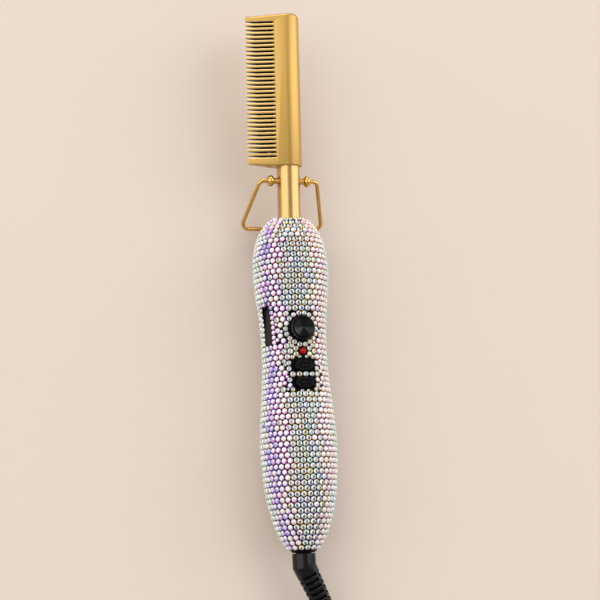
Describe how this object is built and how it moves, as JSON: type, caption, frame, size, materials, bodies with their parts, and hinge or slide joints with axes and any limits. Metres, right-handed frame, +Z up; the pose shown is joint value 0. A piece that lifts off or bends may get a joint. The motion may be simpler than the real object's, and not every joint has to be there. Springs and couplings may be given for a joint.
{
  "type": "hot comb",
  "caption": "Electric hot comb: a heated metal comb on a tube neck with a folding wire stand, a stone-covered handle with power button, keys and light, and a swivel cord.",
  "frame": {"origin": "centre of the bottom of the box round the part without its cord and boot, which is the surface that its two handle bellies lie on", "axes": "+Y along the handle towards the comb head, +Z up out of the face with the buttons, the comb's teeth point to -X"},
  "size_m": [0.0654, 0.4743, 0.041],
  "materials": {
    "gold_head": "gold anodised, satin",
    "gold_tube": "gold plated, polished",
    "gold_wire": "gold plated, polished",
    "steel": "plain",
    "copper": "bare",
    "shell": "glossy black",
    "stone": "faceted, mirror backed",
    "key": "glossy black",
    "lens": "clear red",
    "window": "glossy",
    "insulator": "moulded",
    "white_part": "plain",
    "board": "solder mask",
    "lead": "insulated wire",
    "cord": "matt black"
  },
  "bodies": {
    "handle": {"comb_head": "gold_head", "heater_cartridge": "steel", "heater_leads": "lead", "thermistor": "white_part", "comb_screw": "steel", "neck_tube": "gold_tube", "tube_pin": "steel", "neck_bush": "insulator", "hinge_bushes": "gold_tube", "front_shell": "shell", "rear_shell": "shell", "front_stones": "stone", "rear_stones": "stone", "shell_screws": "steel", "circuit_board": "board", "board_screws": "steel", "switch_bodies": "insulator", "power_bezel": "shell", "key_frames": "shell", "power_light": "white_part", "light_lens": "lens", "display_window": "window", "display_module": "insulator", "control_chip": "insulator", "triac": "insulator", "filter_capacitor": "insulator", "board_fuse": "steel", "mains_leads": "lead", "swivel_socket": "insulator", "contact_brushes": "copper", "tail_collar": "shell", "cord_lead": "cord", "cord_hank": "cord", "cord_tail": "cord", "cord_tie": "insulator", "plug_body": "cord", "plug_pins": "steel"},
    "stand": {"wire_stand": "gold_wire", "stand_beads": "gold_wire"},
    "power_key": {"power_button": "key", "power_plunger": "white_part"},
    "upper_key": {"upper_key": "key", "upper_plunger": "white_part"},
    "lower_key": {"lower_key": "key", "lower_plunger": "white_part"},
    "swivel": {"swivel_rotor": "insulator", "slip_rings": "copper", "cord_boot": "cord"}
  },
  "joints": [
    {"name": "stand_pivot", "type": "hinge", "parent": "handle", "child": "stand", "pos_m": [0, 0.05544, 0.0252], "axis": [1, 0, 0], "range_deg": [0, 115]},
    {"name": "power_press", "type": "slide", "parent": "handle", "child": "power_key", "axis": [0, 0, -1], "range_m": [0, 0.0006], "stiffness_N_per_m": 1500, "springref_m": -0.0002},
    {"name": "upper_press", "type": "slide", "parent": "handle", "child": "upper_key", "axis": [0, 0, -1], "range_m": [0, 0.0006], "stiffness_N_per_m": 1500, "springref_m": -0.0002},
    {"name": "lower_press", "type": "slide", "parent": "handle", "child": "lower_key", "axis": [0, 0, -1], "range_m": [0, 0.0006], "stiffness_N_per_m": 1500, "springref_m": -0.0002},
    {"name": "cord_swivel", "type": "hinge", "parent": "handle", "child": "swivel", "pos_m": [0, -0.13954, 0.0203], "axis": [0, -1, 0], "continuous": true}
  ]
}
